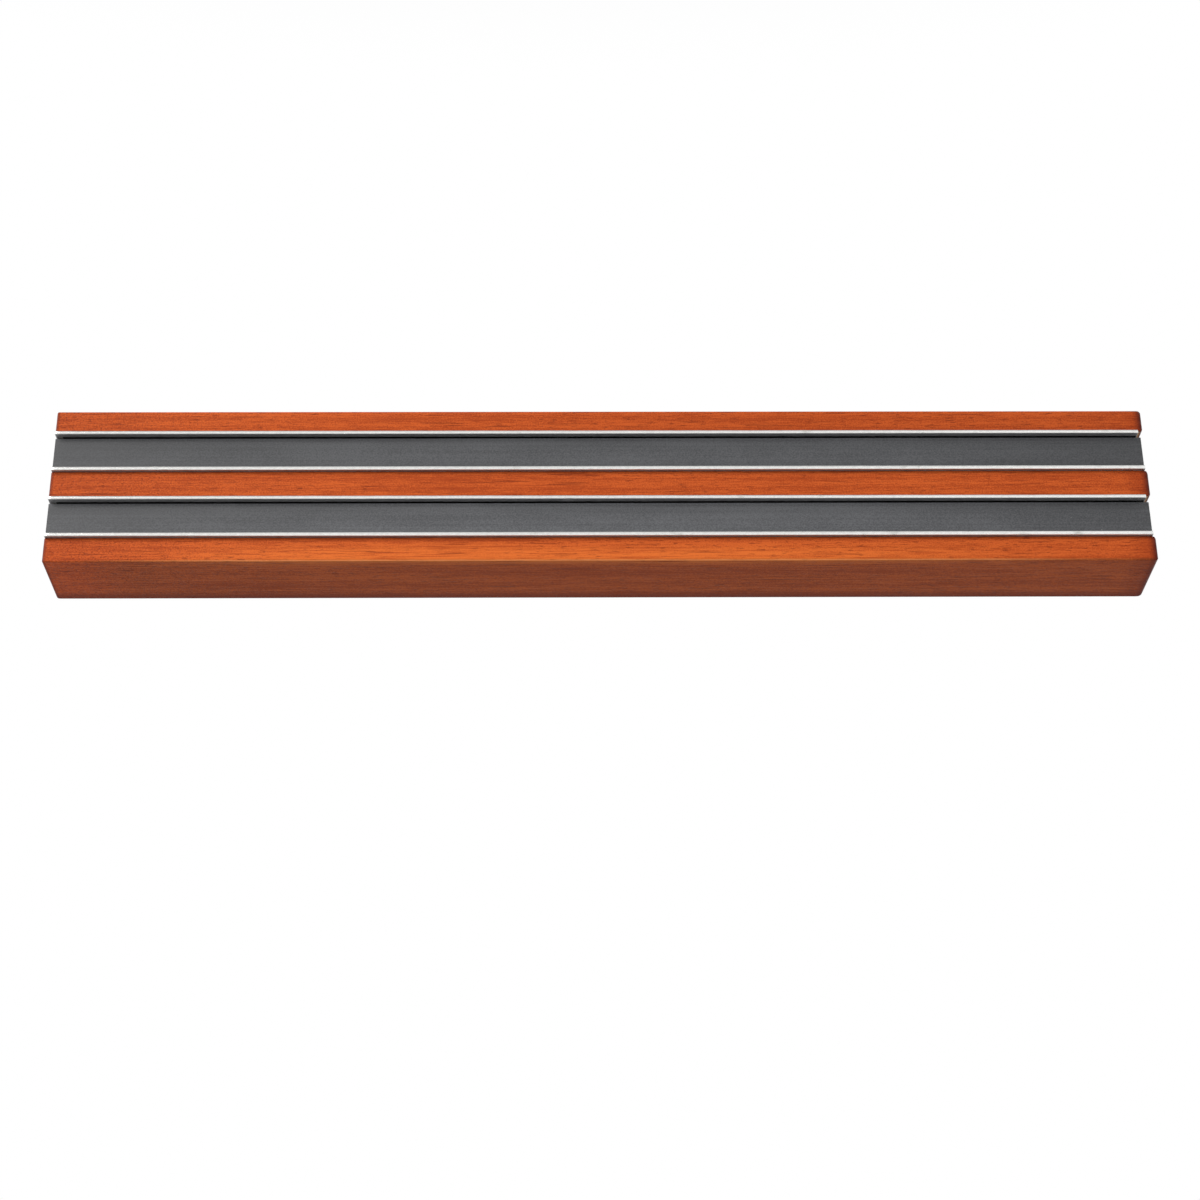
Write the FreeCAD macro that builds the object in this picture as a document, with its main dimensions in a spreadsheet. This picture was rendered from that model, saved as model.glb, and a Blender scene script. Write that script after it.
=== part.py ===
"""Magnetic knife rack: a grooved hardwood board, two magnet bars and two keyhole hangers.

Millimetres. X runs along the rack, Z is up, and the wall is the plane Y = 0. The origin is
the middle of the board's back face, so the board fills negative Y and the knives hang on
the side that faces -Y.

Each magnet bar lies in a groove that runs out at both ends of the board. Two steel pole
strips stand on edge against the groove's walls, a row of ferrite blocks fills the space
between them, and a plastic cover strip closes the front. The strips stand proud of the
board: a blade that bridges them closes the magnetic circuit.
"""

import FreeCAD
import Part

import os

import Sketcher
from FreeCAD import Vector

MAGNETS_PER_BAR = 6
THREAD_RINGS = 7
COUNTERSINK_ANGLE = 90.0

DRIVING_SIZES = {
    # The board, and the two grooves that mirror each other about its middle rib. The lift is
    # how far the rib lies above the middle of the board.
    "board_length": 304.8,
    "board_height": 47.6,
    "board_thickness": 23.0,
    "board_arris": 0.8,
    "middle_rib": 8.0,
    "rib_lift": 0.25,
    "groove_arris": 0.25,
    # The magnet bars. A trim is how far a piece stops short of the board's right end.
    "pole_width": 12.0,
    "pole_thickness": 1.2,
    "pole_proud": 1.2,
    "pole_edge": 0.35,
    "bar_inset": 0.1,
    "top_pole_trim": 1.7,
    "bottom_pole_trim": 0.9,
    "magnet_width": 10.3,
    "magnet_depth": 8.0,
    "magnet_gap": 0.6,
    "magnet_end_inset": 2.0,
    "magnet_chamfer": 0.4,
    "cover_thickness": 2.3,
    "cover_side_gap": 0.45,
    "cover_trim": 0.8,
    "cover_edge": 0.3,
    "glue_bed": 0.3,
    # The keyhole hangers, let into the back of the board.
    "hanger_spacing": 203.2,
    "hanger_length": 38.0,
    "hanger_height": 22.0,
    "hanger_thickness": 1.5,
    "hanger_corner": 5.0,
    "hanger_setback": 0.1,
    "hanger_clearance": 0.25,
    "keyhole_entry": 9.6,
    "keyhole_slot": 4.6,
    "keyhole_travel": 7.0,
    "keyhole_drop": 3.5,
    "head_room_depth": 4.5,
    "head_room_side": 0.6,
    # The countersunk wood screws that hold the hangers.
    "screw_spacing": 28.0,
    "screw_length": 12.7,
    "screw_head": 5.6,
    "screw_rim": 0.2,
    "screw_major": 2.9,
    "screw_root": 2.1,
    "screw_neck": 0.6,
    "screw_tip": 2.2,
    "recess_span": 3.0,
    "recess_wing": 0.7,
    "recess_depth": 1.1,
    "screw_clearance": 0.03,
    "shank_clearance": 0.15,
    "pilot_clearance": 0.1,
    "pilot_spare": 0.5,
}

# What follows from the driving sizes, as expressions.
HALF_LENGTH = "( board_length / 2 )"
HALF_HEIGHT = "( board_height / 2 )"
RIB_TOP = "( rib_lift + middle_rib / 2 )"
RIB_BOTTOM = "( rib_lift - middle_rib / 2 )"
GROOVE_WIDTH = "( magnet_width + 2 * pole_thickness )"
GROOVE_DEPTH = "( pole_width - pole_proud + glue_bed )"
GROOVE_FLOOR = f"( {GROOVE_DEPTH} - board_thickness )"
POLE_BACK = f"( {GROOVE_FLOOR} - glue_bed )"
MAGNET_FRONT = f"( {POLE_BACK} - magnet_depth )"
BAR_LENGTH = "( board_length - bar_inset )"
COVER_WIDTH = "( magnet_width - 2 * cover_side_gap )"
MAGNET_ROW = f"( {BAR_LENGTH} - cover_trim - 2 * magnet_end_inset )"
MAGNET_GAPS = f"( {MAGNETS_PER_BAR - 1} * magnet_gap )"
MAGNET_LENGTH = f"( ( {MAGNET_ROW} - {MAGNET_GAPS} ) / {MAGNETS_PER_BAR} )"
RECESS_DEPTH = "( hanger_thickness + hanger_setback )"
ENTRY_HEIGHT = "( 0 - keyhole_drop )"
SLOT_END_HEIGHT = "( keyhole_travel - keyhole_drop )"
HEAD_ROOM_RADIUS = "( keyhole_entry / 2 + head_room_side )"
HEAD_ROOM_FLOOR = f"( {RECESS_DEPTH} + head_room_depth )"
SCREW_CONE = "( screw_head / 2 - screw_root / 2 )"
THREAD_START = f"( screw_rim + {SCREW_CONE} + screw_neck )"
THREAD_PITCH = f"( ( screw_length - screw_tip - {THREAD_START} ) / {THREAD_RINGS} )"

document = FreeCAD.newDocument("magnetic_knife_rack")
sheet = document.addObject("Spreadsheet::Sheet", "sizes")
for row, (size_name, size) in enumerate(DRIVING_SIZES.items(), start=1):
    sheet.set(f"A{row}", size_name)
    sheet.set(f"B{row}", str(size))
    sheet.setAlias(f"B{row}", size_name)
document.recompute()

pieces = []


def bind(thing, path, text):
    """Binds a property, or a sketch's named constraint, to an expression of the sizes."""
    words = [f"sizes.{word}" if word in DRIVING_SIZES else word for word in text.split()]
    thing.setExpression(path, " ".join(words))


def new_body(label):
    body = document.addObject("PartDesign::Body", label)
    body.Label = label
    pieces.append(body)
    return body


def new_sketch(body, name, role):
    """A sketch on one of the body's own origin planes."""
    sketch = body.newObject("Sketcher::SketchObject", name)
    plane = next(item for item in body.Origin.OriginFeatures if item.Role == role)
    sketch.AttachmentSupport = [(plane, "")]
    sketch.MapMode = "FlatFace"
    return sketch


def dimension(sketch, name, text, kind, *references):
    """Adds a driving dimension to a sketch, bound to an expression."""
    index = sketch.addConstraint(Sketcher.Constraint(kind, *references, 1.0))
    sketch.renameConstraint(index, name)
    bind(sketch, f"Constraints.{name}", text)


def add_polygon(sketch, name, corners):
    """Adds a closed outline whose every corner is a pair of expressions."""
    first = sketch.GeometryCount
    count = len(corners)
    for i in range(count):
        start = Vector(i + 1, i * i, 0)
        end = Vector((i + 1) % count + 1, ((i + 1) % count) ** 2, 0)
        sketch.addGeometry(Part.LineSegment(start, end), False)
    for i in range(count):
        following = first + (i + 1) % count
        sketch.addConstraint(Sketcher.Constraint("Coincident", first + i, 2, following, 1))
    for i, (across, up) in enumerate(corners):
        dimension(sketch, f"{name}_across_{i}", across, "DistanceX", first + i, 1)
        dimension(sketch, f"{name}_up_{i}", up, "DistanceY", first + i, 1)


def add_rectangle(sketch, name, left, right, low, high):
    add_polygon(sketch, name, [(left, low), (right, low), (right, high), (left, high)])


def add_circle(sketch, name, across, up, diameter):
    index = sketch.addGeometry(Part.Circle(Vector(1, 1, 0), Vector(0, 0, 1), 2), False)
    dimension(sketch, f"{name}_across", across, "DistanceX", index, 3)
    dimension(sketch, f"{name}_up", up, "DistanceY", index, 3)
    dimension(sketch, f"{name}_diameter", diameter, "Diameter", index)


def add_feature(body, kind, name, sketch, length=None, **settings):
    """Adds a feature on a sketch. A pocket, and nothing else, must take volume away."""
    before = body.Shape.Volume if body.Tip else 0.0
    feature = body.newObject(f"PartDesign::{kind}", name)
    feature.Profile = sketch
    for key, setting in settings.items():
        setattr(feature, key, setting)
    if length:
        bind(feature, "Length", length)
    body.Tip = feature
    document.recompute()
    gained = body.Shape.Volume - before
    if gained == 0 or (gained < 0) != (kind in ("Pocket", "Hole")):
        raise ValueError(f"{name} changes the volume of {body.Label} by {gained}")
    return feature


def soften(body, kind, name, path, text, test):
    """Fillets or chamfers the edges of a body that pass a test."""
    base = body.Tip
    edges = [f"Edge{i}" for i, edge in enumerate(base.Shape.Edges, start=1) if test(edge)]
    if not edges:
        raise ValueError(f"{name} finds no edge on {body.Label}")
    feature = body.newObject(f"PartDesign::{kind}", name)
    feature.Base = (base, edges)
    bind(feature, path, text)
    body.Tip = feature
    document.recompute()


def runs_along(edge, axis):
    """True for an edge whose bounding box is long only along one axis."""
    box = edge.BoundBox
    spans = {"X": box.XLength, "Y": box.YLength, "Z": box.ZLength}
    length = spans.pop(axis)
    return length > 100 * max(spans.values())


def is_front_long_edge(edge, front):
    """True for an edge along X that lies in the plane Y = front."""
    return runs_along(edge, "X") and abs(edge.CenterOfMass.y - front) < 0.001


def make_bar(label, back, front, low, high, length, edge_radius=None):
    """A bar along X from the board's left end, with its front edges rounded if asked."""
    body = new_body(label)
    section = new_sketch(body, f"{label}_section", "YZ_Plane")
    add_rectangle(section, "section", front, back, low, high)
    add_feature(body, "Pad", f"{label}_bar", section, length)
    if edge_radius:
        front_plane = min(vertex.Y for vertex in body.Shape.Vertexes)
        soften(
            body,
            "Fillet",
            f"{label}_edges",
            "Radius",
            edge_radius,
            lambda edge: is_front_long_edge(edge, front_plane),
        )
    bind(body, "Placement.Base.x", f"bar_inset - {HALF_LENGTH}")
    return body


def hanger_centres():
    """The name and X of each hanger."""
    return (("left", "( 0 - hanger_spacing / 2 )"), ("right", "( hanger_spacing / 2 )"))


def screw_centres(hanger_x):
    """The name and X of each screw of the hanger at hanger_x."""
    return (
        ("left", f"( {hanger_x} - screw_spacing / 2 )"),
        ("right", f"( {hanger_x} + screw_spacing / 2 )"),
    )


def add_pocket_from_back(body, name, depth, draw):
    """Cuts from the plane Y = 0 towards -Y whatever draw puts in a sketch of X and Z."""
    sketch = new_sketch(body, f"{name}_outline", "XZ_Plane")
    draw(sketch)
    return add_feature(body, "Pocket", name, sketch, depth, Reversed=True)


def add_keyhole(body, name, centre, depth, entry_diameter, slot_width):
    """Cuts an upright keyhole, or the room behind it, as an entry, a slot and its round end."""
    half = f"( {slot_width} / 2 )"
    add_pocket_from_back(
        body,
        f"{name}_entry",
        depth,
        lambda sketch: add_circle(sketch, "entry", centre, ENTRY_HEIGHT, entry_diameter),
    )
    add_pocket_from_back(
        body,
        f"{name}_slot",
        depth,
        lambda sketch: add_rectangle(
            sketch,
            "slot",
            f"{centre} - {half}",
            f"{centre} + {half}",
            ENTRY_HEIGHT,
            SLOT_END_HEIGHT,
        ),
    )
    add_pocket_from_back(
        body,
        f"{name}_end",
        depth,
        lambda sketch: add_circle(sketch, "end", centre, SLOT_END_HEIGHT, slot_width),
    )


def make_board():
    """The hardwood board, grooved in front and recessed behind for the hangers."""
    board = new_body("wood_board")
    blank = new_sketch(board, "blank_section", "YZ_Plane")
    add_rectangle(blank, "blank", "0 - board_thickness", "0", f"0 - {HALF_HEIGHT}", HALF_HEIGHT)
    add_feature(board, "Pad", "board_blank", blank, "board_length", Midplane=True)
    soften(board, "Fillet", "board_arrises", "Radius", "board_arris", lambda edge: True)

    grooves = new_sketch(board, "groove_sections", "YZ_Plane")
    for name, near, far in (
        ("upper", RIB_TOP, f"{RIB_TOP} + {GROOVE_WIDTH}"),
        ("lower", RIB_BOTTOM, f"{RIB_BOTTOM} - {GROOVE_WIDTH}"),
    ):
        add_rectangle(grooves, name, "0 - board_thickness - 1", GROOVE_FLOOR, near, far)
    add_feature(board, "Pocket", "grooves", grooves, Type="ThroughAll", Midplane=True)
    flat_front = sheet.board_height / 2 - 2 * sheet.board_arris
    soften(
        board,
        "Fillet",
        "groove_arrises",
        "Radius",
        "groove_arris",
        lambda edge: is_front_long_edge(edge, -sheet.board_thickness)
        and abs(edge.CenterOfMass.z) < flat_front,
    )

    reach = "( hanger_length / 2 + hanger_clearance )"
    rise = "( hanger_height / 2 + hanger_clearance )"
    for side, centre in hanger_centres():
        add_pocket_from_back(
            board,
            f"{side}_hanger_recess",
            RECESS_DEPTH,
            lambda sketch: add_rectangle(
                sketch, "recess", f"{centre} - {reach}", f"{centre} + {reach}", f"0 - {rise}", rise
            ),
        )
    recess_floor = -sheet.hanger_thickness - sheet.hanger_setback
    soften(
        board,
        "Fillet",
        "recess_corners",
        "Radius",
        "hanger_corner + hanger_clearance",
        lambda edge: runs_along(edge, "Y") and edge.BoundBox.YMin > recess_floor - 0.001,
    )
    for side, centre in hanger_centres():
        width = f"( 2 * {HEAD_ROOM_RADIUS} )"
        add_keyhole(board, f"{side}_head_room", centre, HEAD_ROOM_FLOOR, width, width)

    pilots = new_sketch(board, "pilot_centres", "XZ_Plane")
    pilot_diameter = "screw_major + 2 * pilot_clearance"
    for side, centre in hanger_centres():
        for end, screw_x in screw_centres(centre):
            add_circle(pilots, f"{side}_{end}", screw_x, "0", pilot_diameter)
    pilot_holes = add_feature(
        board,
        "Hole",
        "pilot_holes",
        pilots,
        Reversed=True,
        DepthType="Dimension",
        DrillPoint="Angled",
    )
    bind(pilot_holes, "Diameter", pilot_diameter)
    bind(pilot_holes, "Depth", "hanger_setback + screw_length + pilot_spare")
    document.recompute()


def make_magnet_bar(bar, low):
    """One magnet bar: its glue bed, pole strips, ferrite blocks and cover.

    low is the height of the groove's lower wall.
    """
    high = f"( {low} + {GROOVE_WIDTH} )"
    magnet_low = f"( {low} + pole_thickness )"
    magnet_high = f"( {magnet_low} + magnet_width )"
    pole_front = f"( {POLE_BACK} - pole_width )"
    cover_front = f"( {MAGNET_FRONT} - cover_thickness )"

    make_bar(f"{bar}_glue_bed", GROOVE_FLOOR, POLE_BACK, low, high, f"{BAR_LENGTH} - cover_trim")
    for pole, trim, pole_low, pole_high in (
        ("top", "top_pole_trim", magnet_high, high),
        ("bottom", "bottom_pole_trim", low, magnet_low),
    ):
        make_bar(
            f"{bar}_{pole}_pole",
            POLE_BACK,
            pole_front,
            pole_low,
            pole_high,
            f"{BAR_LENGTH} - {trim}",
            "pole_edge",
        )
    make_bar(
        f"{bar}_cover",
        MAGNET_FRONT,
        cover_front,
        f"{magnet_low} + cover_side_gap",
        f"{magnet_high} - cover_side_gap",
        f"{BAR_LENGTH} - cover_trim",
        "cover_edge",
    )
    for i in range(MAGNETS_PER_BAR):
        label = f"{bar}_magnet_{i + 1}"
        magnet = make_bar(label, POLE_BACK, MAGNET_FRONT, magnet_low, magnet_high, MAGNET_LENGTH)
        soften(
            magnet,
            "Chamfer",
            f"{label}_ends",
            "Size",
            "magnet_chamfer",
            lambda edge: runs_along(edge, "Z"),
        )
        first = f"bar_inset - {HALF_LENGTH} + magnet_end_inset"
        bind(magnet, "Placement.Base.x", f"{first} + {i} * ( {MAGNET_LENGTH} + magnet_gap )")


def make_hanger(side, centre):
    """A stamped steel plate with an upright keyhole and two countersunk holes.

    Its back, the side the countersinks open on, is its own plane Y = 0.
    """
    hanger = new_body(f"{side}_hanger")
    outline = new_sketch(hanger, f"{side}_hanger_outline", "XZ_Plane")
    half_length = "hanger_length / 2"
    half_height = "hanger_height / 2"
    add_rectangle(
        outline, "plate", f"0 - {half_length}", half_length, f"0 - {half_height}", half_height
    )
    add_feature(hanger, "Pad", f"{side}_hanger_plate", outline, "hanger_thickness")
    soften(
        hanger,
        "Fillet",
        f"{side}_hanger_corners",
        "Radius",
        "hanger_corner",
        lambda edge: runs_along(edge, "Y"),
    )
    through = "hanger_thickness + 1"
    add_keyhole(hanger, f"{side}_keyhole", "0", through, "keyhole_entry", "keyhole_slot")

    screw_holes = new_sketch(hanger, f"{side}_screw_centres", "XZ_Plane")
    shank_hole = "screw_root + 2 * shank_clearance"
    for end, screw_x in screw_centres("0"):
        add_circle(screw_holes, end, screw_x, "0", shank_hole)
    holes = add_feature(
        hanger,
        "Hole",
        f"{side}_screw_holes",
        screw_holes,
        Reversed=True,
        DepthType="ThroughAll",
        HoleCutType="Countersink",
        HoleCutCustomValues=True,
        HoleCutCountersinkAngle=COUNTERSINK_ANGLE,
    )
    bind(holes, "Diameter", shank_hole)
    bind(holes, "HoleCutDiameter", "screw_head + 2 * screw_clearance + 2 * screw_rim")
    bind(hanger, "Placement.Base.x", centre)
    bind(hanger, "Placement.Base.y", "0 - hanger_setback")


def make_screw(label, centre):
    """A countersunk wood screw along Y, its head's face on its own plane Y = 0.

    The thread is a row of sharp rings, as deep and as far apart as the real helix.
    """
    screw = new_body(label)
    head = "screw_head / 2"
    root = "screw_root / 2"
    crest = "screw_major / 2"
    profile = [
        ("0", "0"),
        (head, "0"),
        (head, "0 - screw_rim"),
        (root, f"0 - screw_rim - {SCREW_CONE}"),
    ]
    for ring in range(THREAD_RINGS):
        top = f"0 - {THREAD_START} - {ring} * {THREAD_PITCH}"
        profile.append((root, top))
        profile.append((crest, f"{top} - {THREAD_PITCH} / 3"))
    profile.append((root, "screw_tip - screw_length"))
    profile.append(("0", "0 - screw_length"))
    section = new_sketch(screw, f"{label}_section", "XY_Plane")
    add_polygon(section, "profile", profile)
    document.recompute()
    add_feature(
        screw, "Revolution", f"{label}_turned", section, ReferenceAxis=(section, ["V_Axis"])
    )

    span = "( recess_span / 2 )"
    wing = "( recess_wing / 2 )"
    corner = [(span, wing), (wing, wing), (wing, span)]
    cross = [
        *corner,
        *((f"0 - {across}", up) for across, up in reversed(corner)),
        *((f"0 - {across}", f"0 - {up}") for across, up in corner),
        *((across, f"0 - {up}") for across, up in reversed(corner)),
    ]
    add_pocket_from_back(
        screw,
        f"{label}_cross_recess",
        "recess_depth",
        lambda sketch: add_polygon(sketch, "cross", cross),
    )
    bind(screw, "Placement.Base.x", centre)
    bind(screw, "Placement.Base.y", "0 - hanger_setback")


def write_pieces():
    """Checks every object of the document, then writes one file for each piece."""
    document.recompute()
    for item in document.Objects:
        if "Invalid" in item.State or "Error" in item.State:
            raise ValueError(f"{item.Label} did not compute: {item.State}")
    for piece in pieces:
        if piece.Shape.isNull() or not piece.Shape.isValid():
            raise ValueError(f"{piece.Label} has no valid shape")
    os.makedirs("parts", exist_ok=True)
    for piece in pieces:
        piece.Shape.exportStep(f"parts/{piece.Label}.step")
        box = piece.Shape.BoundBox
        print(f"{piece.Label}: {len(piece.Shape.Solids)} solid, {piece.Shape.Volume:.1f} mm3,"
              f" {box.XLength:.1f} x {box.YLength:.1f} x {box.ZLength:.1f} mm")


make_board()
make_magnet_bar("upper_bar", RIB_TOP)
make_magnet_bar("lower_bar", f"( {RIB_BOTTOM} - {GROOVE_WIDTH} )")
for hanger_side, hanger_x in hanger_centres():
    make_hanger(hanger_side, hanger_x)
    for screw_end, screw_x in screw_centres(hanger_x):
        make_screw(f"{hanger_side}_hanger_{screw_end}_screw", screw_x)
write_pieces()
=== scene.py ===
"""The looks of a wall-mounted magnetic knife rack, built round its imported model.

Metres, in the model's own frame: X runs along the rack, Z is up and the wall is the plane
Y = 0, so the knives hang on the side that faces -Y. The board, the strips and the covers are
sections carried along X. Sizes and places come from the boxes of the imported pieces.
"""

import math

import bmesh
import bpy
import numpy as np
from bpy.props import FloatProperty, FloatVectorProperty, PointerProperty
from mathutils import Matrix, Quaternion, Vector


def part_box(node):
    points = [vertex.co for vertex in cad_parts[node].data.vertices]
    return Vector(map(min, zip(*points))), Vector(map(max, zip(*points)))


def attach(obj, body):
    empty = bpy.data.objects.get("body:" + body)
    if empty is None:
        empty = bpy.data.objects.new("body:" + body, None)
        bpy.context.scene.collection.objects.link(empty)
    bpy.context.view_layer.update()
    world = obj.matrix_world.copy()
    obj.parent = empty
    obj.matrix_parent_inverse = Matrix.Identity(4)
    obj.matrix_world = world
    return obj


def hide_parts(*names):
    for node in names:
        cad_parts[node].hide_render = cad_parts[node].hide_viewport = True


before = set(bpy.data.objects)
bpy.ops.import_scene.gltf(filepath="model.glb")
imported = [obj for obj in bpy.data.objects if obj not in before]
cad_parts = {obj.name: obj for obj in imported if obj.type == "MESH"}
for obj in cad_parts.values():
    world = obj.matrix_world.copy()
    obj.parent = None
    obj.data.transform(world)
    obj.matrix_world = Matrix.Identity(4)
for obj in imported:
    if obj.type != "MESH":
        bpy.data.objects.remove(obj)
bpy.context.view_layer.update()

bl_info = {
    "name": "Magnetic Knife Rack",
    "version": (1, 0, 0),
    "blender": (4, 5, 0),
    "location": "View3D > Sidebar > Knife Rack",
    "description": "Builds the wooden rack, its magnet bars and its wall hangers",
    "category": "Add Mesh",
}

MM = 0.001
BODY = "root"
BARS = ("upper_bar", "lower_bar")
POLES = ("top_pole", "bottom_pole")
MAGNETS_PER_BAR = 6
MAGNETS = [f"{bar}_magnet_{i + 1}" for bar in BARS for i in range(MAGNETS_PER_BAR)]
HANGERS = ("left_hanger", "right_hanger")
SCREWS = [f"{hanger}_{end}_screw" for hanger in HANGERS for end in ("left", "right")]
LEAST_RADIUS = 0.02 * MM
ARC_SHARE = 0.45
FLAT_ANGLE = math.radians(35)
SAME_FACE_ANGLE = math.radians(1)
SAME_POINT_DISTANCE = 0.002 * MM
EDGE_WAVELENGTHS = np.array([61, 23, 9.7, 4.1]) * MM
SENSOR_WIDTH = 36.0


# Meshes


def span(node):
    """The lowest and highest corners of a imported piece, as arrays."""
    low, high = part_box(node)
    return np.array(low), np.array(high)


def wander(x, lengths, seed):
    """A smooth line that wanders between about -1 and 1 along x.

    It is the mean of one sine wave for each of the lengths, each with its own random phase.
    """
    phases = np.random.default_rng(seed).uniform(0, 2 * np.pi, len(lengths))
    waves = [np.sin(2 * np.pi * x / length + phase) for length, phase in zip(lengths, phases)]
    return np.mean(waves, axis=0)


def rounded_sections(corners, radii, insets, steps, cuts=1):
    """Outlines of a square-cornered section, one for each row of insets, as (rows, points, 2).

    corners run anticlockwise in (Y, Z) as seen from +X. A row of insets holds how far each side
    moves inwards, and the side after a corner has the corner's number. A corner's arc is
    centre + radius * (before * cos a + after * sin a), a from 0 to 90 degrees, with the outward
    normals of the sides before and after it. The insets use up the radius of a corner that
    points outwards and add to the radius of one that points inwards. No radius is over ARC_SHARE
    of the shorter side beside it, so that two arcs never meet. radii holds one radius for each
    corner, or one row of them for each row of insets. The straight stretch between two arcs is
    cut into even parts.
    """
    corners = np.asarray(corners, float)
    leaving = np.roll(corners, -1, axis=0) - corners
    length = np.linalg.norm(leaving, axis=1)
    leaving /= length[:, None]
    arriving = np.roll(leaving, 1, axis=0)
    after = np.stack([leaving[:, 1], -leaving[:, 0]], axis=1)
    before = np.roll(after, 1, axis=0)
    turn = np.sign(arriving[:, 0] * leaving[:, 1] - arriving[:, 1] * leaving[:, 0])
    insets = np.broadcast_to(insets, (len(insets), len(corners)))
    earlier = np.roll(insets, 1, axis=1)
    moved = corners - earlier[..., None] * before - insets[..., None] * after
    spent = (insets + earlier) / 2
    room = ARC_SHARE * np.minimum(length, np.roll(length, 1))
    radius = np.minimum(np.maximum(np.asarray(radii) - turn * spent, LEAST_RADIUS), room)
    reach = (turn * radius)[..., None]
    centre = moved - reach * (before + after)
    angle = np.linspace(0, np.pi / 2, steps)[:, None]
    fan = before[:, None] * np.cos(angle) + after[:, None] * np.sin(angle)
    arcs = centre[:, :, None] + reach[:, :, None] * fan
    share = np.arange(1, cuts)[:, None] / cuts
    straights = arcs[:, :, -1:] * (1 - share) + np.roll(arcs[:, :, :1], -1, axis=1) * share
    return np.concatenate([arcs, straights], axis=2).reshape(len(insets), -1, 2)


def stations(low, high, low_round, high_round, pitch, steps=7):
    """Places along X: crowded as 1 - cos a towards each end, and evenly spaced between them."""
    angle = np.linspace(0, np.pi / 2, steps)[:-1]
    count = round((high - low - low_round - high_round) / pitch)
    middle = np.linspace(low + low_round, high - high_round, count + 1)
    left = low + low_round * (1 - np.cos(angle))
    right = high - high_round * (1 - np.cos(angle[::-1]))
    return np.concatenate([left, middle, right])


def end_insets(x, low_rounds, high_rounds):
    """How far each side moves inwards at each place along X, as (places, sides).

    Each end is a quarter circle: radius - sqrt(radius^2 - (radius - distance)^2), where the
    distance from that end is under the radius. There is one radius for each side, or one for
    them all.
    """
    insets = 0
    for distance, radius in ((x - x[0], low_rounds), (x[-1] - x, high_rounds)):
        radius = np.atleast_1d(radius)
        depth = np.clip(radius - distance[:, None], 0, radius)
        insets = insets + radius - np.sqrt(radius**2 - depth**2)
    return insets


def carried_section(name, x, outlines):
    """A closed mesh through one outline for each place along X, with a flat cap at each end."""
    rings, count = outlines.shape[:2]
    places = np.broadcast_to(x[:, None, None], (rings, count, 1))
    points = np.concatenate([places, outlines], axis=2).reshape(-1, 3)
    ring = np.arange(rings - 1)[:, None] * count
    here = np.arange(count)[None, :]
    beside = (here + 1) % count
    corners = [ring + here, ring + beside, ring + count + beside, ring + count + here]
    sides = np.stack(corners, axis=-1).reshape(-1, 4)
    first = np.arange(count)[::-1]
    last = np.arange(count) + (rings - 1) * count
    mesh = bpy.data.meshes.new(name)
    mesh.from_pydata(points.tolist(), [], [*sides.tolist(), first.tolist(), last.tolist()])
    return mesh


def rounded_outline(middle, half, radius, count=48):
    """A rectangle with rounded corners, as points in (X, Z), anticlockwise as seen from -Y.

    It is a circle cut into quarters, each moved out towards its own corner: middle +
    sign * (half - radius) + radius * (cos a, sin a). A radius as large as half the width gives
    an oblong with round ends, or a whole circle.
    """
    angle = 2 * np.pi * (np.arange(count) + 0.5) / count
    arm = np.stack([np.cos(angle), np.sin(angle)], axis=1)
    return middle + np.sign(arm) * (np.asarray(half) - radius) + radius * arm


def prism(name, outline, low, high):
    """A closed mesh between Y = low and Y = high, over an outline in (X, Z).

    The outline runs anticlockwise as seen from -Y, so that the faces point outwards.
    """
    count = len(outline)
    levels = [np.insert(outline, 1, level, axis=1) for level in (low, high)]
    here = np.arange(count)
    beside = (here + 1) % count
    sides = np.stack([here, here + count, beside + count, beside], axis=1)
    mesh = bpy.data.meshes.new(name)
    caps = [here.tolist(), (here[::-1] + count).tolist()]
    mesh.from_pydata(np.concatenate(levels).tolist(), [], [*sides.tolist(), *caps])
    return mesh


def cut_away(mesh, cutters):
    """The mesh with the space of every cutter taken out of it."""
    block = bpy.data.objects.new("block", mesh)
    tools = [bpy.data.objects.new("cutter", cutter) for cutter in cutters]
    for item in (block, *tools):
        bpy.context.scene.collection.objects.link(item)
    for tool in tools:
        cut = block.modifiers.new("cut", "BOOLEAN")
        cut.operation = "DIFFERENCE"
        cut.solver = "EXACT"
        cut.object = tool
    evaluated = block.evaluated_get(bpy.context.evaluated_depsgraph_get())
    result = bpy.data.meshes.new_from_object(evaluated)
    for item in (block, *tools):
        bpy.data.objects.remove(item)
    return result


def whole_faces(node):
    """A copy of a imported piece's mesh, with its loose triangles merged into whole faces."""
    shape = bmesh.new()
    shape.from_mesh(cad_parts[node].data)
    bmesh.ops.remove_doubles(shape, verts=shape.verts, dist=SAME_POINT_DISTANCE)
    bmesh.ops.dissolve_limit(
        shape, angle_limit=SAME_FACE_ANGLE, verts=shape.verts, edges=shape.edges
    )
    mesh = bpy.data.meshes.new(f"whole_{node}")
    shape.to_mesh(mesh)
    shape.free()
    return mesh


def new_piece(name, mesh, material, soft_edge=0.0):
    """Adds a mesh to the scene as a piece of the rack, smooth up to its sharp edges."""
    mesh.validate()
    mesh.polygons.foreach_set("use_smooth", np.ones(len(mesh.polygons), bool))
    mesh.set_sharp_from_angle(angle=FLAT_ANGLE)
    mesh.materials.append(material)
    piece = bpy.data.objects.new(name, mesh)
    bpy.context.scene.collection.objects.link(piece)
    if soft_edge:
        rounding = piece.modifiers.new("soft edges", "BEVEL")
        rounding.width = soft_edge
        rounding.segments = 3
        rounding.limit_method = "ANGLE"
        rounding.angle_limit = FLAT_ANGLE
    shading = piece.modifiers.new("even shading", "WEIGHTED_NORMAL")
    shading.keep_sharp = True
    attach(piece, BODY)
    return piece


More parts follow.
